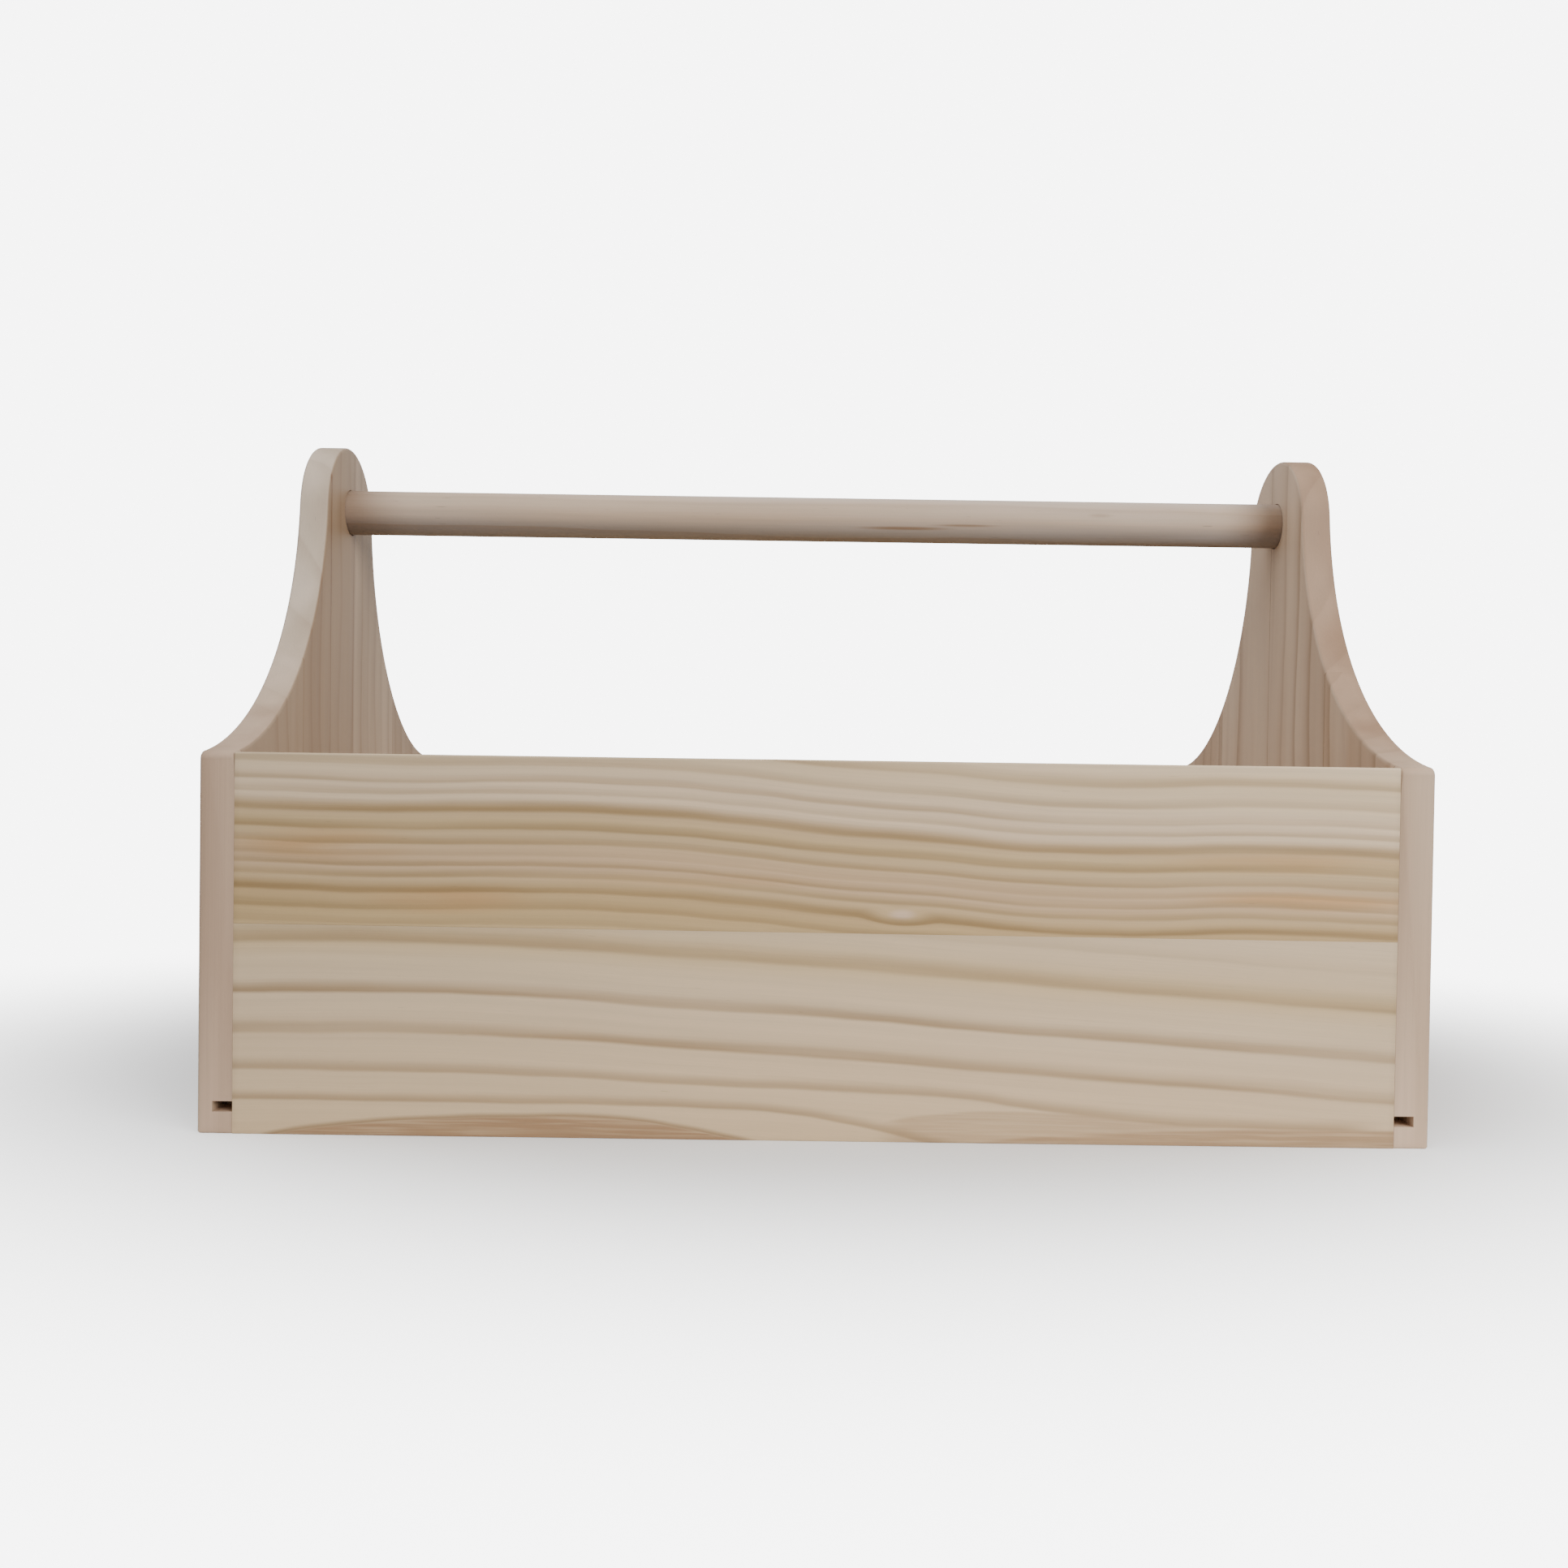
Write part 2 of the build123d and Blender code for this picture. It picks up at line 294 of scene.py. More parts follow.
def drawTo(point):
    # Draws on from the picked corner to the next one, as pulling it out by hand does.
    mesh = bmesh.from_edit_mesh(bpy.context.object.data)
    last = next(v for v in mesh.verts if v.select)
    bpy.ops.mesh.extrude_region_move(TRANSFORM_OT_translate={"value": point - last.co})


def drawArc(centre, start, end):
    first, last = (start - centre).yz, (end - centre).yz
    turn = first.angle_signed(last)
    bpy.ops.mesh.spin(steps=endPanel["arcSteps"], angle=turn, center=centre, axis=(1, 0, 0))


def drawOutline(low, high, shoulder):
    # Straight front edge, hollow flank, round crown, hollow flank, straight rear edge.
    x, middle = low.x, (low.y + high.y) / 2
    crownRadius, flankRadius = endPanel["crownRadius"] * mm, endPanel["flankRadius"] * mm
    crown = Vector((x, middle, high.z - crownRadius))
    corner = Vector((x, low.y, shoulder))
    reach = crown - corner
    along = (reach.length_squared + flankRadius ** 2 - (crownRadius + flankRadius) ** 2) / (2 * reach.length)
    across = sqrt(flankRadius ** 2 - along ** 2)
    ahead = reach.normalized()
    flank = corner + ahead * along + Vector((0, -ahead.z, ahead.y)) * across
    touch = flank + (crown - flank).normalized() * flankRadius

    def behind(point):
        return Vector((x, 2 * middle - point.y, point.z))

    drawTo(corner)
    drawArc(flank, corner, touch)
    drawArc(crown, touch, behind(touch))
    drawArc(behind(flank), behind(touch), behind(corner))
    drawTo(Vector((x, high.y, 0)))


def drawPanel(low, high, shoulder):
    # The outline on the outer face, filled and pulled inwards to the board's thickness.
    bpy.ops.object.select_all(action="DESELECT")
    bpy.ops.mesh.primitive_plane_add(size=mm, location=(low.x, low.y, 0))
    panel = startPiece("left_end_board")
    bpy.ops.object.mode_set(mode="EDIT")
    bpy.ops.mesh.select_mode(type="VERT")
    bpy.ops.mesh.select_all(action="SELECT")
    bpy.ops.mesh.merge(type="CENTER")
    drawOutline(low, high, shoulder)
    bpy.ops.mesh.select_all(action="SELECT")
    bpy.ops.mesh.remove_doubles(threshold=samePlace)
    bpy.ops.mesh.select_all(action="SELECT")
    bpy.ops.mesh.edge_face_add()
    bpy.ops.mesh.extrude_region_move(TRANSFORM_OT_translate={"value": (high.x - low.x, 0, 0)})
    bpy.ops.mesh.select_all(action="SELECT")
    bpy.ops.mesh.normals_make_consistent(inside=False)
    bpy.ops.object.mode_set(mode="OBJECT")
    return panel


def easePanel(panel, low, shoulder):
    # Round shoulders, eased edges where they lie open, and crisp ones at the joints.
    limit = shoulder - endPanel["shoulderEase"][0] * mm

    def isCorner(edge, above):
        isAbove = edge.verts[0].co.z > shoulder / 2
        return runsAcross(edge) and isSharp(edge, endPanel["cornerAngle"]) and isAbove == above

    def isOpen(edge):
        onOuter = all(v.co.x < low.x + samePlace for v in edge.verts)
        return isSharp(edge) and (onOuter or all(v.co.z > limit for v in edge.verts))

    pickEdges(panel, lambda edge: isCorner(edge, True))
    bevelPicked(endPanel["shoulderEase"])
    pickEdges(panel, lambda edge: isCorner(edge, False))
    bevelPicked(endPanel["footEase"])
    pickEdges(panel, isOpen)
    bevelPicked(endPanel["faceEase"])
    easeSharp(panel, endPanel["jointEase"])


def headCentres(node, x):
    # Where the fasteners of a node show their heads on the face at x.
    centres = []
    for vertex in nodes[node].data.vertices:
        if abs(vertex.co.x - x) < samePlace:
            near = [c for c in centres if (c[0] / c[1] - vertex.co).length < endPanel["headApart"] * mm]
            if near:
                near[0][0] += vertex.co
                near[0][1] += 1
            else:
                centres.append([vertex.co.copy(), 1])
    return [total / count for total, count in centres]


def headRadius(node, x, centre):
    reach = [(v.co - centre).length for v in nodes[node].data.vertices if abs(v.co.x - x) < samePlace]
    return max(r for r in reach if r < endPanel["headReach"] * mm)


def cutPanel(panel, low, high):
    # The floor panel's groove, the handle's socket and the fasteners' holes.
    past = endPanel["cutPast"] * mm
    floorLow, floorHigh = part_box("floor_panel")
    gap = endPanel["grooveGap"] * mm
    start = Vector((floorLow.x - gap, low.y - past, floorLow.z))
    end = Vector((high.x + past, high.y + past, floorHigh.z + gap))
    carve(panel, addBlock("groove", start, end))
    rodLow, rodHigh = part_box("handle_dowel")
    middle = (rodLow + rodHigh) / 2
    gap = endPanel["socketGap"] * mm
    start = Vector((rodLow.x - gap, middle.y, middle.z))
    end = Vector((high.x + past, middle.y, middle.z))
    carve(panel, addRod("socket", start, end, (rodHigh.z - rodLow.z) / 2 + gap, endPanel["socketSides"]))
    for node in ("front_nails", "rear_nails", "handle_screws"):
        for centre in headCentres(node, low.x):
            radius = headRadius(node, low.x, centre) + endPanel["headGap"] * mm
            start = centre - Vector((past, 0, 0))
            end = centre + Vector((radius, 0, 0))
            carve(panel, addRod("hole", start, end, radius, endPanel["headSides"]))


def buildEndPanel():
    low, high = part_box("left_end_panel")
    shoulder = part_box("front_upper_board")[1].z
    panel = drawPanel(low, high, shoulder)
    easePanel(panel, low, shoulder)
    cutPanel(panel, low, high)
    return panel


def mirrored(piece, name):
    twin = piece.copy()
    twin.data = piece.data.copy()
    twin.name = twin.data.name = name
    bpy.context.scene.collection.objects.link(twin)
    bpy.ops.object.select_all(action="DESELECT")
    bpy.context.view_layer.objects.active = twin
    twin.select_set(True)
    bpy.ops.object.mode_set(mode="EDIT")
    bpy.ops.mesh.select_all(action="SELECT")
    bpy.ops.transform.resize(value=(-1, 1, 1), center_override=(0, 0, 0))
    bpy.ops.mesh.normals_make_consistent(inside=False)
    bpy.ops.object.mode_set(mode="OBJECT")
    return twin


leftEnd = buildEndPanel()
rightEnd = mirrored(leftEnd, "right_end_board")
finishPiece(leftEnd, "carcass", "left_end_panel")
finishPiece(rightEnd, "carcass", "right_end_panel")
print("end panels made")


boards = {
    "topEase": (0.8, 4),
    "footEase": (0.35, 4),
    "glueEase": (0.06, 1),
}


def buildStave(name, node, outside, ease):
    # One stave of the front board. Its glue line slopes, so each end has heights of its own.
    low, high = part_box(node)
    stave = addBlock(name, low, high)
    ends = {x: [v.co.z for v in nodes[node].data.vertices if abs(v.co.x - x) < samePlace]
            for x in (low.x, high.x)}
    bpy.ops.object.mode_set(mode="EDIT")
    mesh = bmesh.from_edit_mesh(stave.data)
    for vertex in mesh.verts:
        heights = ends[low.x if vertex.co.x < 0 else high.x]
        vertex.co.z = max(heights) if vertex.co.z > (low.z + high.z) / 2 else min(heights)
    bmesh.update_edit_mesh(stave.data)
    bpy.ops.object.mode_set(mode="OBJECT")
    pickEdges(stave, lambda edge: isLevel(edge, outside))
    bevelPicked(ease)
    easeSharp(stave, boards["glueEase"])
    finishPiece(stave, "carcass", node)


def buildRail():
    low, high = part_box("rear_rail")
    rail = addBlock("rear_rail_board", low, high)
    pickEdges(rail, lambda edge: isLevel(edge, high.z))
    bevelPicked(boards["topEase"])
    easeSharp(rail, boards["glueEase"])
    finishPiece(rail, "carcass", "rear_rail")


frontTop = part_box("front_upper_board")[1].z
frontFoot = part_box("front_lower_board")[0].z
buildStave("upper_stave", "front_upper_board", frontTop, boards["topEase"])
buildStave("lower_stave", "front_lower_board", frontFoot, boards["footEase"])
buildRail()
print("boards made")

handle = {
    "sides": 128,
    "endEase": (0.6, 2),
    "pilotRadius": 2.1,
    "pilotDepth": 20.0,
    "pilotSides": 32,
}


def buildHandle():
    low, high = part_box("handle_dowel")
    middle = (low + high) / 2
    ends = [Vector((x, middle.y, middle.z)) for x in (low.x, high.x)]
    rod = addRod("handle_rod", *ends, (high.z - low.z) / 2, handle["sides"])
    easeSharp(rod, handle["endEase"])
    reach = Vector((handle["pilotDepth"] * mm, 0, 0))
    radius = handle["pilotRadius"] * mm
    for end in ends:
        carve(rod, addRod("pilot", end - reach, end + reach, radius, handle["pilotSides"]))
    finishPiece(rod, "carcass", "handle_dowel")


buildHandle()

knob = {
    "sides": 64,
    "footRadius": 7.0,
    "footHeight": 2.0,
    "footTaper": (0.96, 0.8),  # what the foot's rounded rim leaves of its radius, and of its height
    "neckRadius": 5.0,
    "neckPlace": 0.4,  # where the cove is narrowest, as a share of its height
    "rimRadius": 3.0,
    "rimHeight": 12.5,
    "tipRadius": 0.2,
    "coveSteps": 10,
    "rimSteps": 10,
    "domeSteps": 8,
}


def knobProfile(fullRadius, length):
    # Radius and height of each turn, from the foot up to the dome's tip.
    footRadius, footHeight = knob["footRadius"] * mm, knob["footHeight"] * mm
    radiusLeft, heightLeft = knob["footTaper"]
    neckRadius, neckPlace = knob["neckRadius"] * mm, knob["neckPlace"]
    rim, rimHeight = knob["rimRadius"] * mm, knob["rimHeight"] * mm
    domeWidth, domeBase = fullRadius - rim, rimHeight + rim
    profile = [(footRadius, footHeight * heightLeft), (footRadius * radiusLeft, footHeight)]
    for i in range(1, knob["coveSteps"] + 1):  # in from the foot to the neck, and out under the rim
        t = i / knob["coveSteps"]
        inwards = (footRadius * radiusLeft - neckRadius) * (1 - min(t / neckPlace, 1)) ** 2
        outwards = (domeWidth - neckRadius) * max((t - neckPlace) / (1 - neckPlace), 0) ** 2
        profile.append((neckRadius + inwards + outwards, footHeight + (rimHeight - rim - footHeight) * t))
    for i in range(1, knob["rimSteps"] + 1):
        turn = pi * i / knob["rimSteps"]
        profile.append((domeWidth + rim * sin(turn), rimHeight - rim * cos(turn)))
    for i in range(1, knob["domeSteps"] + 1):
        turn = pi / 2 * i / knob["domeSteps"]
        radius = max(domeWidth * cos(turn), knob["tipRadius"] * mm)
        profile.append((radius, domeBase + (length - domeBase) * sin(turn)))
    return profile


def buildKnob():
    low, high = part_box("drawer_knob")
    axis = Vector(((low.x + high.x) / 2, low.y, (low.z + high.z) / 2))
    radius, height = knob["footRadius"] * mm, 0.0
    bpy.ops.object.select_all(action="DESELECT")
    bpy.ops.mesh.primitive_circle_add(vertices=knob["sides"], radius=radius, fill_type="NGON",
                                      location=axis, rotation=(-pi / 2, 0, 0))
    piece = startPiece("turned_knob")
    bpy.ops.object.mode_set(mode="EDIT")
    bpy.ops.mesh.select_all(action="SELECT")
    for nextRadius, nextHeight in knobProfile((high.x - low.x) / 2, high.y - low.y):
        bpy.ops.mesh.extrude_region_move(TRANSFORM_OT_translate={"value": (0, nextHeight - height, 0)})
        ratio = nextRadius / radius
        bpy.ops.transform.resize(value=(ratio, 1, ratio), center_override=axis + Vector((0, nextHeight, 0)))
        radius, height = nextRadius, nextHeight
    bpy.ops.mesh.select_all(action="SELECT")
    bpy.ops.mesh.normals_make_consistent(inside=False)
    bpy.ops.object.mode_set(mode="OBJECT")
    finishPiece(piece, "drawer", "drawer_knob")


buildKnob()
print("handle and knob made")


pineCommon = {  # a size is a length along the grain and a width, in millimetres
    "fibreSize": (60.0, 0.55),
    "fibreTone": 0.14,
    "fibreRoughness": 0.2,
    "fibreRelief": 0.6,
    "streakSize": (150.0, 3.5),
    "streakTone": 0.14,
    "fleckSize": (9.0, 0.5),
    "fleckRange": (0.76, 0.82),
    "flecks": 0.22,
    "bendSize": (160.0, 70.0),
    "rippleSize": (35.0, 20.0),
    "pithShift": (90.0, 30.0),
    "ringTones": [(0.0, 0.22), (0.06, 0.03), (0.45, 0.0), (0.72, 0.28), (0.9, 0.9), (0.96, 1.0), (1.0, 0.22)],
    "faintestYear": 0.35,
    "yearWarmth": 0.12,
    "zoneSize": (220.0, 26.0),
    "zoneDrift": 4.0,
    "warmRange": (0.35, 0.75),
    "lineRoughness": 0.08,
    "lineRelief": 0.5,
    "endGrainTone": 0.80,
    "endGrainRoughness": 0.15,
    "poreSize": 0.6,
    "poreRelief": 1.5,
    "arrisWidth": 1.6,
    "arrisPatches": 9.0,
    "arrisTone": 0.08,
    "roughness": 0.62,
    "bumpDepth": 0.05,
    "staveWidth": 1000.0,
    "staveShift": 500.0,
    "staveTone": 0.0,
    "staveJoint": (0.3, 0.1),
    "edgeLines": 0.6,
    "upperEdgeLines": 0.6,
    "tintRise": (0.0, 1.0),
    "darkLines": [],
    "darkStreaks": [],
    "lift": 1.0,
    "paintedLightAlong": 0.0,
}
squareRange = (0.35, 0.95)  # from a face at a slant to one square to the axis
ovalRange = (1.0, 0.2)  # from an oval's edge to its full middle


def grainPlace(finish, axes, box):
    # Millimetres from the piece's middle: along the grain, across the face, through the board.
    low, high = box
    coords = finish.node("ShaderNodeTexCoord", output="Object")
    sockets = {"Vector": coords, "Location": [-c / mm for c in (low + high) / 2], "Scale": (1 / mm,) * 3}
    place = finish.node("ShaderNodeMapping", {"vector_type": "POINT"}, sockets)
    return [finish.part(place, axis) for axis in axes]


def normalAlong(finish, axis):
    return finish.part(finish.node("ShaderNodeTexCoord", output="Normal"), axis)


def facing(finish, axis):
    # 1 on the faces square to an axis, 0 on those along it.
    return finish.between(abs(normalAlong(finish, axis)), *squareRange)


def arrisShare(finish, place, axes, box, look):
    # 1 at the edges of a box-shaped board, 0 past the width: the second least distance to a face.
    low, high = box
    halves = [(high["xyz".index(axis)] - low["xyz".index(axis)]) / 2 / mm for axis in axes]
    first, second, third = [half - abs(value) for value, half in zip(place, halves)]
    least = first.least(second).least(third)
    most = first.most(second).most(third)
    middle = first + second + third - least - most
    width = look["arrisWidth"]
    ragged = finish.noise(finish.vector(*place), look["arrisPatches"], detail=3.0) * width
    return finish.between(middle - ragged, width, -width / 2)


def staves(finish, across, look):
    # A glued-up panel's staves: a number of its own for each, and the thin joint between them.
    place = (across + look["staveShift"]) / look["staveWidth"]
    index = place.floor()
    part = place - index
    gap = part.least(1.0 - part) * look["staveWidth"]
    return finish.chance(index + look["seed"]), finish.between(gap, *look["staveJoint"])


def growthRings(finish, place, own, look):
    # The dark part of each year's ring, and a number of its own for each year.
    along, across, through = place
    bend = centred(finish.grainNoise(place, look["bendSize"], detail=1.0), look["bend"])
    ripple = centred(finish.grainNoise(place, look["rippleSize"], detail=1.0), look["ripple"])
    shiftAcross, shiftThrough = look["pithShift"]
    out = across - look["pithAcross"] + own * shiftAcross
    deep = through - look["pithThrough"] - own * shiftThrough
    radius = (out * out + deep * deep) ** 0.5 + bend + ripple + along * look["taper"]
    phase = radius / look["ringWidth"] + look["seed"]
    index = phase.floor()
    year = finish.chance(index)
    late = finish.ramp(phase - index, [(place, grey(tone)) for place, tone in look["ringTones"]])
    faintest = look["faintestYear"]
    return late * (faintest + (1.0 - faintest) * year), year


def oval(finish, along, height, middle, size):
    # 1 at the middle of a soft oval patch, 0 outside it.
    x = (along - middle[0]) / size[0]
    z = (height - middle[1]) / size[1]
    return finish.between((x * x + z * z) ** 0.5, *ovalRange)


def woodSurface(finish, place, grain, axes, box, tone, lines, look):
    # place is in the board, grain is the same place straightened along its fibres.
    fibre = finish.grainNoise(grain, look["fibreSize"], detail=3.0, roughness=0.6)
    streak = finish.grainNoise(grain, look["streakSize"])
    fleck = finish.grainNoise(grain, look["fleckSize"], detail=1.0)
    fleck = finish.between(fleck, *look["fleckRange"]) * look["flecks"]
    endGrain = facing(finish, axes[0])
    edge = arrisShare(finish, place, axes, box, look)
    shade = 1.0 + centred(fibre, look["fibreTone"]) + centred(streak, look["streakTone"]) - fleck
    # painted light: the front staves grow paler towards their right ends, where more light falls
    shade = shade * (look["lift"] + grain[0] * look["paintedLightAlong"])
    shade = shade * (1.0 - endGrain * (1.0 - look["endGrainTone"]))
    shade = shade * (1.0 - edge * look["arrisTone"])
    colour = finish.mix(lines, tone, look["latePaint"])
    colour = finish.mix(1.0, colour, finish.vector(shade, shade, shade), "MULTIPLY")
    roughness = look["roughness"] + centred(fibre, look["fibreRoughness"]) - lines * look["lineRoughness"]
    roughness = roughness + endGrain * look["endGrainRoughness"]
    pores = finish.noise(finish.vector(*place), look["poreSize"], detail=3.0) * look["poreRelief"]
    height = fibre * look["fibreRelief"] - lines * look["lineRelief"] + endGrain * pores - fleck
    return finish.cover(colour, roughness, height, look["bumpDepth"], IOR=1.45)


def pine(node, axes, look):
    # Pine with curved growth rings round a pith that lies off the board.
    look = {**pineCommon, **look}
    finish = Finish(node)
    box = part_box(node)
    place = grainPlace(finish, axes, box)
    own, joint = staves(finish, place[1], look)
    lines, year = growthRings(finish, place, own, look)
    onFace = facing(finish, axes[2])
    rise = finish.between(place[0], *look["tintRise"])
    edgeLines = look["edgeLines"] + rise * (look["upperEdgeLines"] - look["edgeLines"])
    lines = lines * look["lineStrength"] * (edgeLines + (1.0 - edgeLines) * onFace)
    zone = finish.grainNoise(place, look["zoneSize"])
    for middle, width, strength in look["darkLines"]:
        away = abs(place[1] - middle + centred(zone, look["zoneDrift"]))
        lines = lines + finish.between(away, width, 0.0) * onFace * strength
    warmth = zone + year * look["yearWarmth"] * onFace + centred(own, look["staveTone"]) * onFace
    tone = finish.mix(finish.between(warmth, *look["warmRange"]), look["palePaint"], look["warmPaint"])
    tone = finish.mix(joint * onFace, tone, look["latePaint"])
    if "edgeTintsAndSheen" in look:  # a tint for the lower part of the sanded edges, and one for the upper; the left panel's cool, pale upper tint is painted light, a highlight of cool light from above on its curved flanks
        tone = finish.mix(1.0 - onFace, tone, finish.mix(rise, *look["edgeTintsAndSheen"]), "MULTIPLY")
    if "underShadeTint" in look:  # painted shade: the underside is darker, where the light from above doesn't reach
        under = finish.between(normalAlong(finish, "z"), *look["underShadeRange"])
        tone = finish.mix(under, tone, look["underShadeTint"], "MULTIPLY")
    for middle, size, strength in look["darkStreaks"]:
        share = oval(finish, place[0], place[1], middle, size) * strength
        tone = finish.mix(share, tone, look["latePaint"])
    if "endShadeTint" in look:  # painted shade: darker towards both ends, where the end panels shade the dowel
        nearEndShade = finish.between(abs(place[0]), *look["endShadeRange"])
        tone = finish.mix(nearEndShade, tone, look["endShadeTint"], "MULTIPLY")
    return woodSurface(finish, place, place, axes, box, tone, lines, look)


def plywood(node, axes, look):
    # A rotary-cut face veneer, with the cross ply showing as a darker stripe at the edges.
    look = {**pineCommon, **look}
    finish = Finish(node)
    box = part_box(node)
    place = grainPlace(finish, axes, box)
    along, across, through = place
    wave = finish.grainNoise((along, across, 0.0), look["waveSize"], detail=1.0)
    band = finish.grainNoise((along, across + wave * look["waveDrift"], 0.0), look["bandSize"])
    lines = finish.between(band, *look["bandStart"]) * finish.between(band, *look["bandEnd"])
    tone = finish.mix(finish.between(wave, *look["waveRange"]), look["palePaint"], look["warmPaint"])
    half, soft = look["plyThickness"] / 2, look["plySoftness"]
    crossPly = finish.between(abs(through), half + soft, half - soft) * (1.0 - facing(finish, axes[2]))
    tone = finish.mix(crossPly, tone, look["crossPaint"])
    return woodSurface(finish, place, place, axes, box, tone, lines * look["lineStrength"], look)


staveCommon = {  # heights and places are in millimetres, from the bottom and the middle of the front
    "waverSize": (45.0, 16.0),
    "waver": 1.6,
    "mottleSize": (70.0, 6.0),
    "mottleRange": (0.25, 0.6),
    "varySize": (110.0, 5.0),
    "varyRange": (0.2, 0.7, 0.6, 1.15),
    "traceFade": 20.0,
    "fillEdge": (0.6, -0.8),
    "fillFade": 12.0,
    "fillStreaks": (40.0, 1.2, 3.0),
    "fillRange": (0.3, 0.6, 0.55, 1.0),
    "traces": [],
    "fills": [],
    "knots": [],
}

upperStave = {
    "latePaint": paint(142, 114, 74),
    "drop": [(-198, 0.0), (-150, -1.0), (-100, -0.5), (-60, -1.2), (-30, -3.2), (10, -7.2), (40, -9.0),
             (92, -12.3), (112, -12.3), (150, -11.4), (198, -12.8)],
    "tone": [(72, paint(194, 166, 122)), (78, paint(190, 161, 116)), (84, paint(190, 160, 116)),
             (89, paint(196, 168, 128)), (93, paint(200, 170, 134)), (98, paint(200, 170, 134)),
             (103, paint(196, 169, 130)), (108, paint(193, 166, 124)), (113, paint(200, 172, 134)),
             (116, paint(219, 194, 162)), (122, paint(218, 193, 162)), (130, paint(213, 189, 155)),
             (136, paint(213, 188, 152)), (143, paint(221, 197, 166))],
    "lines": [(73.6, 3.0, 0.32), (78.8, 3.6, 0.48), (84.5, 4.0, 0.82), (89.6, 3.2, 0.55), (93.4, 3.0, 0.52),
              (97.0, 3.4, 0.30), (100.9, 3.2, 0.55), (105.9, 3.6, 0.60), (112.1, 5.0, 0.72),
              (117.9, 3.0, 0.42), (122.0, 3.2, 0.46), (127.8, 3.8, 0.40), (135.0, 4.2, 0.50)],
    "patches": [((-168, 99), (40, 8), 0.7), ((-126, 81), (38, 7), 0.6), ((165, 84), (60, 4), 0.8),
                ((160, 97), (60, 5), 0.5), ((-40, 88), (60, 4), 0.3)],
    "patchPaint": paint(192, 148, 98),
    "knots": [((29, 77.5), (6.0, 2.4), 0.8)],
    "knotPaint": paint(212, 184, 160),
    "swirl": ((28, 84.5), (15, 5), 2.4),
    "depthTilt": 0.8,
    "lift": 1.05,
    "paintedLightAlong": 0.0005,
    "streakSize": (120.0, 2.0),
    "streakTone": 0.24,
}

flame = [(-198, -4.0), (-170, 2.6), (-140, 5.6), (-100, 7.4), (-70, 7.2), (-45, 4.2), (-25, 0.0), (0, -8.0)]

lowerStave = {
    "latePaint": paint(146, 119, 86),
    "drop": [(-198, 0.0), (-130, 0.4), (-90, -1.0), (-50, -3.4), (0, -6.0), (50, -9.6), (100, -13.0),
             (150, -16.2), (198, -19.4)],
    "tone": [(0, paint(198, 172, 136)), (20, paint(202, 177, 143)), (36, paint(204, 179, 146)),
             (50, paint(208, 184, 152)), (60, paint(208, 184, 150)), (67, paint(200, 174, 132)),
             (74, paint(206, 182, 148)), (90, paint(210, 187, 156))],
    "lines": [(35.4, 5.0, 0.72), (49.2, 4.8, 0.74), (66.4, 6.5, 0.55), (79.0, 4.0, 0.18)],
    "traces": [
        ([(-198, 22.7), (-110, 22.0), (-50, 19.6), (10, 17.5), (50, 15.5), (70, 13.0), (110, 8.8), (130, 7.4),
          (198, 6.6)], 4.2, 0.62),
        ([(-198, 12.5), (-90, 12.0), (-30, 11.2), (-10, 9.6), (10, 6.6), (40, 0.0), (80, -12.0)], 3.6, 0.68),
        (flame, 1.8, 0.9),
    ],
    "fills": [
        (flame, 1.0),
        ([(20, 3.0), (40, 9.5), (70, 11.0), (110, 8.6), (140, 7.2), (198, 6.6)], 0.45),
        ([(30, -4.0), (60, 1.0), (100, 4.0), (140, 5.4), (198, 6.0)], 0.65),
    ],
    "patches": [((-92, 1.0), (30, 3), 0.9)],
    "patchPaint": paint(150, 118, 86),
    "depthTilt": -0.9,
    "lift": 1.05,
    "paintedLightAlong": 0.0003,
    "streakSize": (140.0, 2.6),
    "streakTone": 0.18,
}


def spread(finish, place, height, soft, strength):
    # One growth line: sharp on its lower side, soft above.
    foot = 0.3 * soft
    rise = finish.between(place - height, -foot, 0.0)
    fall = finish.between(place - height, soft, 0.0)
    return rise * fall * strength


def trace(finish, along, points):
    # A height that follows a few points along the board.
    first, last = points[0][0], points[-1][0]
    bottom, top = min(z for _, z in points), max(z for _, z in points)
    shares = [((x - first) / (last - first), (z - bottom) / (top - bottom)) for x, z in points]
    sockets = {"Value": finish.share(along, first, last)}
    curve = finish.node("ShaderNodeFloatCurve", {"points": shares}, sockets)
    return curve * (top - bottom) + bottom


def fillShare(finish, place, points, boardEnd, look):
    # A streaky fill under a traced height. It fades in, and out again unless the board ends first.
    along, z, through = place
    first, last = points[0][0], points[-1][0]
    margin = 1.0
    fadeIn = look["fillFade"]
    fadeOut = fadeIn if last < boardEnd - margin else 0.0
    inside = finish.between(z - trace(finish, along, points), *look["fillEdge"])
    inside = inside * finish.between(along, first - margin, first + fadeIn)
    inside = inside * finish.between(along, last + margin, last - fadeOut)
    length, width, depth = look["fillStreaks"]
    streaks = finish.noise(finish.vector(along / length, z / width, through / depth), 1.0)
    return inside * finish.between(streaks, *look["fillRange"])


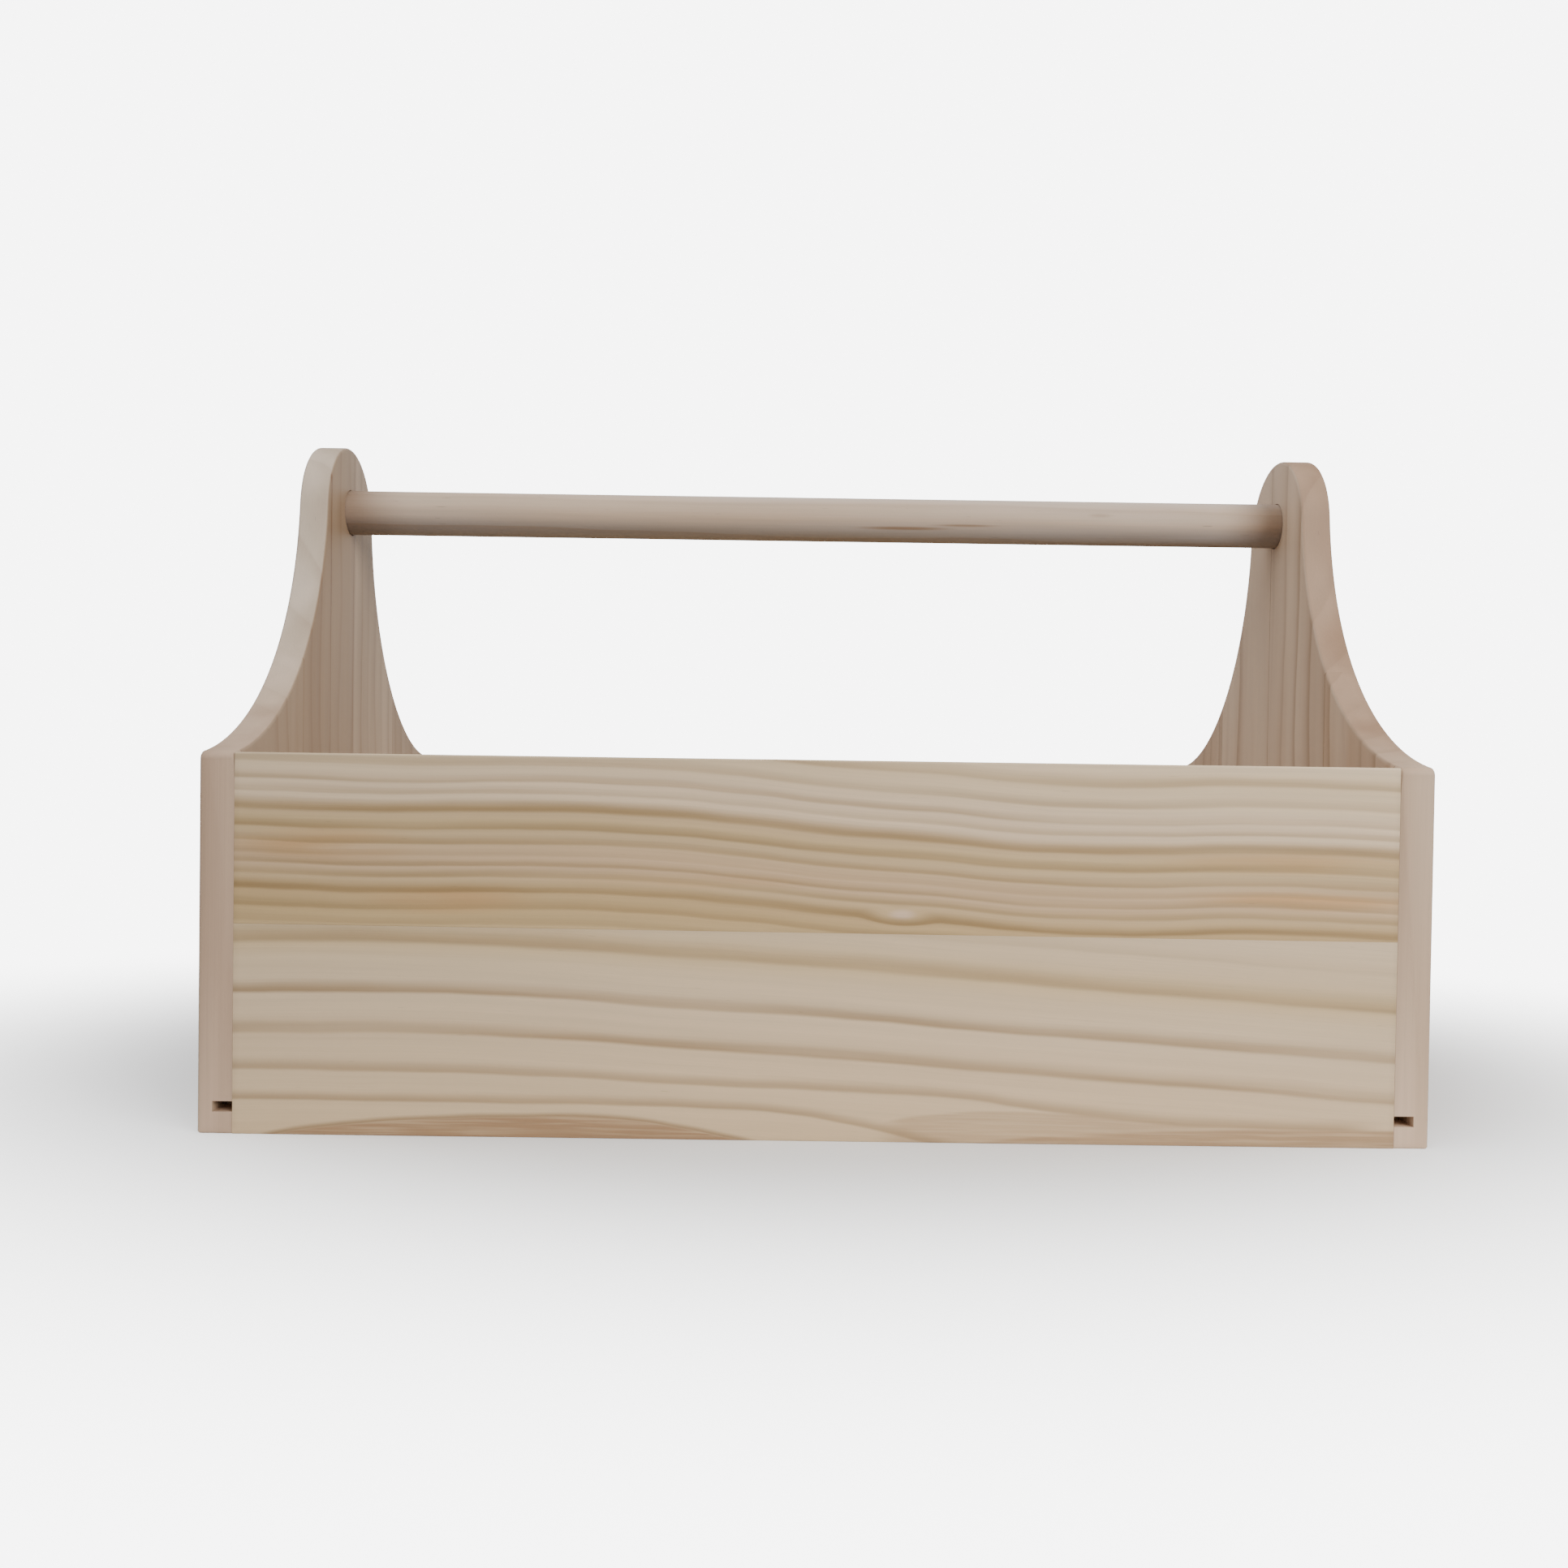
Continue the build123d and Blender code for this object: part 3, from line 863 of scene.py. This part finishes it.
def staveFigure(node, axes, look):
    # The front board's figure: growth lines at heights measured on the photo, drifting down to the right.
    look = {**pineCommon, **staveCommon, **look}
    finish = Finish(node)
    low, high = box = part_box(node)
    place = grainPlace(finish, axes, box)
    along, across, through = place
    waver = centred(finish.grainNoise(place, look["waverSize"]), look["waver"])
    inwards = through + (high.y - low.y) / 2 / mm  # how far behind the front face
    z = across + (low.z + high.z) / 2 / mm + waver + inwards * look["depthTilt"]
    h = z - trace(finish, along, look["drop"])  # the height that the fibres here have at the left end
    if "swirl" in look:
        middle, size, lift = look["swirl"]
        h = h + oval(finish, along, h, middle, size) * lift
    bottom, top = look["tone"][0][0], look["tone"][-1][0]
    stops = [((height - bottom) / (top - bottom), colour) for height, colour in look["tone"]]
    tone = finish.ramp(finish.share(h, bottom, top), stops)
    mottle = finish.grainNoise((along, h, 0.0), look["mottleSize"])
    mottle = finish.between(mottle, *look["mottleRange"])
    for middle, size, strength in look["patches"]:
        share = oval(finish, along, z, middle, size) * mottle * strength
        tone = finish.mix(share, tone, look["patchPaint"])
    for points, strength in look["fills"]:
        share = fillShare(finish, (along, z, through), points, high.x / mm, look) * strength
        tone = finish.mix(share, tone, look["patchPaint"])
    for middle, size, strength in look["knots"]:
        share = oval(finish, along, z, middle, size) * strength
        tone = finish.mix(share, tone, look["knotPaint"])
    vary = finish.grainNoise((along, h, 0.0), look["varySize"], detail=1.0)
    vary = finish.between(vary, *look["varyRange"])
    lines = sum(spread(finish, h, *line) for line in look["lines"]) * vary
    for points, soft, strength in look["traces"]:
        last = points[-1][0]
        inReach = finish.between(along, last, last - look["traceFade"])
        lines = lines + spread(finish, z, trace(finish, along, points), soft, strength) * inReach
    return woodSurface(finish, place, (along, h, through), axes, box, tone, lines, look)


endLook = {
    "palePaint": paint(179, 156, 132),
    "warmPaint": paint(158, 134, 110),
    "latePaint": paint(132, 102, 78),
    "ringWidth": 11.0,
    "bend": 30.0,
    "ripple": 3.0,
    "taper": 0.01,
    "lineStrength": 0.5,
    "pithAcross": -20.0,
    "pithThrough": -46.0,
    "seed": 0.3,
    "staveWidth": 64.0,
    "staveShift": 316.0,
    "staveTone": 0.4,
    "edgeLines": 0.12,
    "upperEdgeLines": 0.45,
    "endGrainTone": 0.97,
    "streakSize": (90.0, 6.0),
    # the upper edge tint is a painted highlight: cool light from above on the curved flanks
    "edgeTintsAndSheen": ((1.18, 1.12, 1.14, 1.0), (1.40, 1.54, 1.72, 1.0)),
    "tintRise": (-6.0, 62.0),
    "darkLines": [(-27.0, 1.1, 0.9), (4.0, 3.0, 0.5), (-46.0, 18.0, 0.3)],
}

rightEndLook = {
    **endLook,
    "palePaint": paint(198, 172, 148),
    "warmPaint": paint(177, 148, 122),
    "ringWidth": 13.0,
    "bend": 18.0,
    "lineStrength": 0.58,
    "pithAcross": 40.0,
    "seed": 0.8,
    "edgeTintsAndSheen": ((1.17, 1.17, 1.16, 1.0), (0.78, 0.70, 0.65, 1.0)),
    "tintRise": (-6.0, 14.0),
    "darkLines": [(-47.0, 24.0, 0.3)],
}

boardLook = {
    "palePaint": paint(204, 181, 150),
    "warmPaint": paint(196, 168, 130),
    "latePaint": paint(148, 118, 80),
    "ringWidth": 6.5,
    "bend": 12.0,
    "ripple": 1.4,
    "taper": 0.01,
    "lineStrength": 0.6,
    "pithAcross": -30.0,
    "pithThrough": -60.0,
    "seed": 0.3,
}

dowelLook = {
    **boardLook,
    "palePaint": paint(206, 187, 171),
    "warmPaint": paint(198, 173, 149),
    "latePaint": paint(136, 104, 74),
    "bend": 9.0,
    "lineStrength": 0.28,
    "pithAcross": -18.0,
    "pithThrough": -6.0,
    "edgeLines": 1.0,
    "upperEdgeLines": 1.0,
    "streakSize": (60.0, 2.6),
    "streakTone": 0.20,
    "flecks": 0.4,
    # painted shade: a darker underside, and darker ends beside the end panels
    "underShadeTint": (0.68, 0.80, 1.0, 1.0),
    "underShadeRange": (-0.1, -0.85),
    "endShadeTint": (0.72, 0.68, 0.66, 1.0),
    "endShadeRange": (168.0, 197.0),
    "darkStreaks": [((38.0, -4.4), (26.0, 1.0), 0.75), ((64.0, -3.0), (18.0, 0.8), 0.6),
                    ((121.0, 2.0), (7.0, 1.3), 0.3)],
}

knobLook = {
    **boardLook,
    "palePaint": paint(208, 176, 146),
    "warmPaint": paint(196, 160, 128),
    "latePaint": paint(158, 116, 84),
    "ringWidth": 1.8,
    "bend": 3.0,
    "ripple": 0.4,
    "lineStrength": 0.3,
    "pithAcross": -16.0,
    "pithThrough": -9.0,
    "edgeLines": 1.0,
    "upperEdgeLines": 1.0,
    "flecks": 0.7,
}

plyLook = {
    "palePaint": paint(200, 177, 142),
    "warmPaint": paint(190, 164, 126),
    "latePaint": paint(162, 130, 90),
    "crossPaint": paint(150, 118, 82),
    "plyThickness": 1.1,
    "plySoftness": 0.08,
    "waveSize": (260.0, 90.0),
    "waveDrift": 90.0,
    "waveRange": (0.35, 0.65),
    "bandSize": (420.0, 11.0),
    "bandStart": (0.52, 0.62),
    "bandEnd": (0.74, 0.64),
    "lineStrength": 0.5,
}

steelLook = {
    "patchSize": 1.2,
    "darkPaint": paint(150, 148, 144),
    "palePaint": paint(186, 184, 180),
    "roughness": 0.32,
    "roughnessChange": 0.2,
    "bumpDepth": 0.05,
}


def steel(name, look):
    finish = Finish(name)
    coords = finish.node("ShaderNodeTexCoord", output="Object")
    patches = finish.noise(coords, look["patchSize"] * mm, detail=4.0)
    colour = finish.mix(patches, look["darkPaint"], look["palePaint"])
    roughness = look["roughness"] + patches * look["roughnessChange"]
    return finish.cover(colour, roughness, patches, look["bumpDepth"], Metallic=1.0)


grains = {  # each node's axes along the grain, across it and through the board, and its look
    "left_end_panel": ("zyx", endLook),
    "right_end_panel": ("zyx", rightEndLook),
    "handle_dowel": ("xzy", dowelLook),
    "front_sill": ("xzy", boardLook),
    "rear_rail": ("xzy", {**boardLook, "pithAcross": 20.0}),
    "rear_sill": ("xzy", {**boardLook, "seed": 0.1}),
    "left_cleat": ("yzx", boardLook),
    "right_cleat": ("yzx", {**boardLook, "seed": 0.9}),
    "front_cleat": ("xzy", {**boardLook, "seed": 0.65}),
    "rear_cleat": ("xzy", {**boardLook, "seed": 0.45}),
    "drawer_front": ("xzy", {**boardLook, "seed": 0.55, "pithAcross": 10.0}),
    "drawer_left_side": ("yzx", {**boardLook, "seed": 0.15}),
    "drawer_right_side": ("yzx", {**boardLook, "seed": 0.85}),
    "drawer_back": ("xzy", {**boardLook, "seed": 0.35}),
    "drawer_knob": ("yxz", knobLook),
}


def finishes():
    # One material for each wooden node, on its own grain.
    made = {node: pine(node, axes, look) for node, (axes, look) in grains.items()}
    made["front_upper_board"] = staveFigure("front_upper_board", "xzy", upperStave)
    made["front_lower_board"] = staveFigure("front_lower_board", "xzy", lowerStave)
    for node in ("floor_panel", "tray_panel", "drawer_panel"):
        made[node] = plywood(node, "xyz", plyLook)
    return made


def dress(made, metal):
    # The fasteners are all that isn't wood.
    for name, node in nodes.items():
        node.data.materials.clear()
        node.data.materials.append(made.get(name, metal))
    for piece, name in pieces:
        piece.data.materials.clear()
        piece.data.materials.append(made[name])


dress(finishes(), steel("fastener_steel", steelLook))
print("dressed")

studio = {
    "floorRadius": 0.7,
    "floorSides": 96,
    "floorTone": 0.95,
    "floorChange": 0.01,
    "floorPatches": 0.4,
    "floorRoughness": 0.9,
    "fadeStart": 0.15,
    "fadeEnd": 0.42,
    "fadeStretch": 1.45,
    "backdropLight": 7.0,
    "roomLight": 0.45,
    "lowLight": 0.12,
    "lowEdge": -0.3,
    "highEdge": 0.2,
    "lightsAim": (0.0, 0.0, 0.1),
}

lights = {
    "key_light": {"place": (0.92, -1.1, 0.75), "size": 0.9, "power": 19.5, "tint": (1.0, 0.98, 0.95)},
    "sky_light": {"place": (-0.5, -0.3, 1.3), "size": 1.2, "power": 11.0, "tint": (0.91, 0.96, 1.0)},
    "fill_light": {"place": (-1.4, -1.3, 0.7), "size": 1.6, "power": 5.0, "tint": (1.0, 1.0, 1.0)},
    "rear_light": {"place": (0.5, 1.7, 0.9), "size": 1.4, "power": 9.0, "tint": (1.0, 1.0, 1.0)},
    "left_light": {"place": (-1.7, 0.5, 0.6), "size": 1.4, "power": 5.0, "tint": (1.0, 1.0, 1.0)},
}

cameraLook = {
    "place": (-0.0136, -0.6260, 0.1298),
    "pan": -0.219,
    "pitch": -0.956,
    "roll": 0.805,
    "sensor": 36.0,
    "lens": 32.91,
}


def buildFloor():
    # A pale round floor that fades out into the white surroundings.
    bpy.ops.object.select_all(action="DESELECT")
    bpy.ops.mesh.primitive_circle_add(
        vertices=studio["floorSides"], radius=studio["floorRadius"], fill_type="NGON"
    )
    floor = startPiece("studio_floor")
    finish = Finish("studio_floor")
    coords = finish.node("ShaderNodeTexCoord", output="Object")
    patches = finish.noise(coords, studio["floorPatches"])
    palest = studio["floorTone"]
    tone = finish.mix(patches, grey(palest - studio["floorChange"]), grey(palest))
    x = finish.part(coords, "x") / studio["fadeStretch"]
    y = finish.part(coords, "y")
    fade = finish.between((x * x + y * y) ** 0.5, studio["fadeEnd"], studio["fadeStart"])
    floor.data.materials.append(finish.cover(tone, studio["floorRoughness"], Alpha=fade))


def buildRoom():
    # White where it is seen, and an even soft light on everything, weaker from below.
    world = bpy.data.worlds.new("soft_white")
    world.use_nodes = True
    tree = world.node_tree
    background = tree.nodes["Background"]
    background.inputs["Color"].default_value = grey(1.0)
    coords = tree.nodes.new("ShaderNodeTexCoord")
    split = tree.nodes.new("ShaderNodeSeparateXYZ")
    tree.links.new(coords.outputs["Generated"], split.inputs[0])
    light = tree.nodes.new("ShaderNodeMapRange")
    tree.links.new(split.outputs["Z"], light.inputs["Value"])
    light.inputs["From Min"].default_value = studio["lowEdge"]
    light.inputs["From Max"].default_value = studio["highEdge"]
    light.inputs["To Min"].default_value = studio["roomLight"] * studio["lowLight"]
    light.inputs["To Max"].default_value = studio["roomLight"]
    rays = tree.nodes.new("ShaderNodeLightPath")
    strength = tree.nodes.new("ShaderNodeMapRange")
    tree.links.new(rays.outputs["Is Camera Ray"], strength.inputs["Value"])
    tree.links.new(light.outputs["Result"], strength.inputs["To Min"])
    strength.inputs["To Max"].default_value = studio["backdropLight"]
    tree.links.new(strength.outputs["Result"], background.inputs["Strength"])
    bpy.context.scene.world = world


def hangLight(name, look):
    bpy.ops.object.light_add(type="AREA", location=look["place"])
    light = bpy.context.object
    light.name = name
    aim = Vector(studio["lightsAim"]) - Vector(look["place"])
    light.rotation_euler = aim.to_track_quat("-Z", "Y").to_euler()
    light.data.energy = look["power"]
    light.data.size = look["size"]
    light.data.color = look["tint"]


def placeCamera():
    bpy.ops.object.camera_add()
    camera = bpy.context.object
    camera.matrix_world = (
        Matrix.Translation(cameraLook["place"])
        @ Matrix.Rotation(radians(cameraLook["pan"]), 4, "Z")
        @ Matrix.Rotation(radians(90 + cameraLook["pitch"]), 4, "X")
        @ Matrix.Rotation(radians(cameraLook["roll"]), 4, "Z")
    )
    camera.data.sensor_width = cameraLook["sensor"]
    camera.data.sensor_fit = "HORIZONTAL"
    camera.data.lens = cameraLook["lens"]
    bpy.context.scene.camera = camera


buildFloor()
buildRoom()
for name, look in lights.items():
    hangLight(name, look)
placeCamera()
print("studio set")
